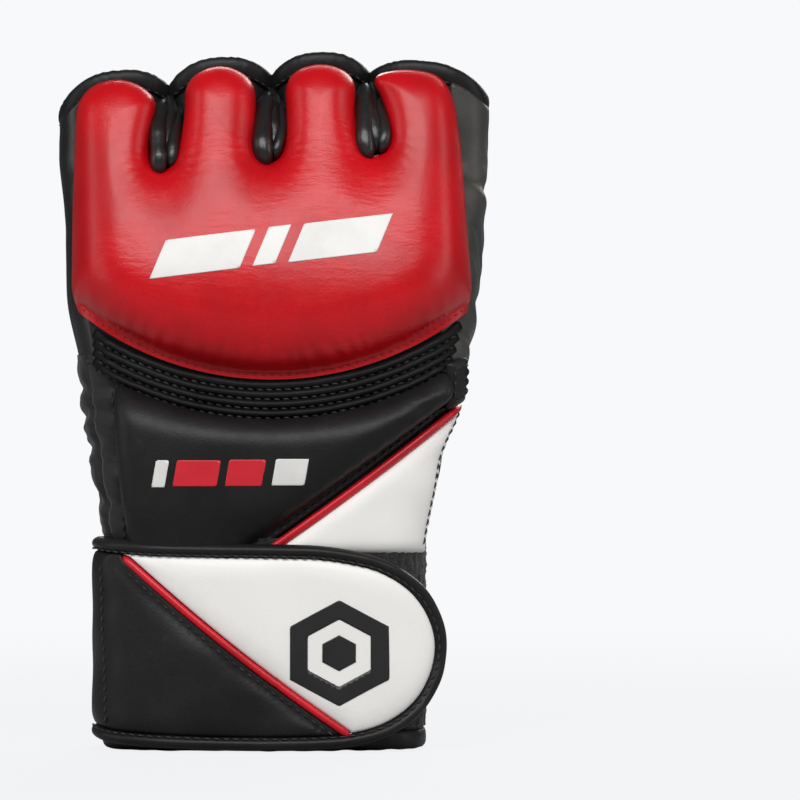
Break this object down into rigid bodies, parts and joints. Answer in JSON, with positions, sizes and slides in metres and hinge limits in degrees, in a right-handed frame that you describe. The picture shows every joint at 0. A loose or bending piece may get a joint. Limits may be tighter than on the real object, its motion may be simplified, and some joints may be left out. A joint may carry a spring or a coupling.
{
  "type": "grappling glove",
  "caption": "Open-finger padded combat glove for the left hand, with a knuckle shield, open palm, thumb sleeve and a wrap-round wrist strap.",
  "frame": {"origin": "on the ground under the middle of the glove's box, with the glove standing on its cuff", "axes": "+Z from the cuff to the fingers, +X towards the thumb side, -Y out of the back of the hand, +Y out of the palm"},
  "size_m": [0.1338, 0.1032, 0.2203],
  "materials": {
    "leather_red": "smooth satin leather, fine grain",
    "leather_black": "smooth satin leather, fine grain",
    "leather_white": "smooth satin leather",
    "piping_red": "thin rolled piping",
    "binding_black": "folded edge binding with a stitch line",
    "stretch_black": "gathered stretch panel",
    "lining_black": "brushed lining",
    "foam": "closed-cell foam",
    "loop_fabric": "soft loop pile",
    "hook_tape": "hook tape"
  },
  "bodies": {
    "hand": {"back_of_hand_base": "leather_black", "little_side_stretch_panel": "stretch_black", "thumb_side_panel": "leather_black", "palm_lower": "leather_black", "lining_lower": "lining_black", "little_side_fold": "stretch_black", "thumb_side_fold": "stretch_black", "palm_binding_lower": "binding_black", "thumb_collar": "leather_black", "flex_rib_1": "leather_black", "flex_rib_2": "leather_black", "flex_rib_3": "leather_black", "back_pad_cover": "leather_black", "back_pad_foam": "foam", "red_piping": "piping_red", "white_corner_panel": "leather_white", "cuff": "stretch_black", "cuff_lining": "lining_black", "cuff_binding": "binding_black", "loop_patch": "loop_fabric", "wrist_band": "leather_black", "wrist_band_patch": "leather_black"},
    "knuckle": {"knuckle_base": "leather_black", "little_side_panel": "leather_black", "index_side_panel": "leather_black", "palm_upper": "leather_black", "lining_upper": "lining_black", "palm_binding_upper": "binding_black", "little_finger_loop": "leather_black", "ring_finger_loop": "leather_black", "middle_finger_loop": "leather_black", "index_finger_loop": "leather_black", "little_rim_binding": "binding_black", "ring_rim_binding": "binding_black", "middle_rim_binding": "binding_black", "index_rim_binding": "binding_black", "web_little_ring": "leather_black", "web_ring_middle": "leather_black", "web_middle_index": "leather_black", "shield_cover": "leather_red", "shield_foam": "foam"},
    "thumb": {"thumb_soft_ring": "leather_black", "thumb_sleeve": "leather_black", "thumb_rim_binding": "binding_black"},
    "strap": {"strap_backing": "leather_black", "strap_edge_binding": "binding_black", "strap_black_panel": "leather_black", "strap_white_panel": "leather_white", "strap_red_piping": "piping_red", "hook_patch": "hook_tape"}
  },
  "joints": [
    {"name": "knuckle_flex", "type": "hinge", "parent": "hand", "child": "knuckle", "pos_m": [0.0001, -0.0285, 0.112], "axis": [-1, 0, 0], "range_deg": [0, 20], "stiffness_Nm_per_rad": 0.6, "springref_deg": -5.73, "deforming": ["little_side_fold", "thumb_side_fold"]},
    {"name": "thumb_swing", "type": "hinge", "parent": "hand", "child": "thumb", "pos_m": [0.02677, 0.01682, 0.10214], "axis": [0.7727, 0, 0.6347], "range_deg": [-15, 15], "stiffness_Nm_per_rad": 0.3, "deforming": ["thumb_soft_ring"]},
    {"name": "strap_peel", "type": "hinge", "parent": "hand", "child": "strap", "pos_m": [-0.0567, -0.0155, 0.033], "axis": [0, 0, -1], "range_deg": [0, 110]}
  ]
}
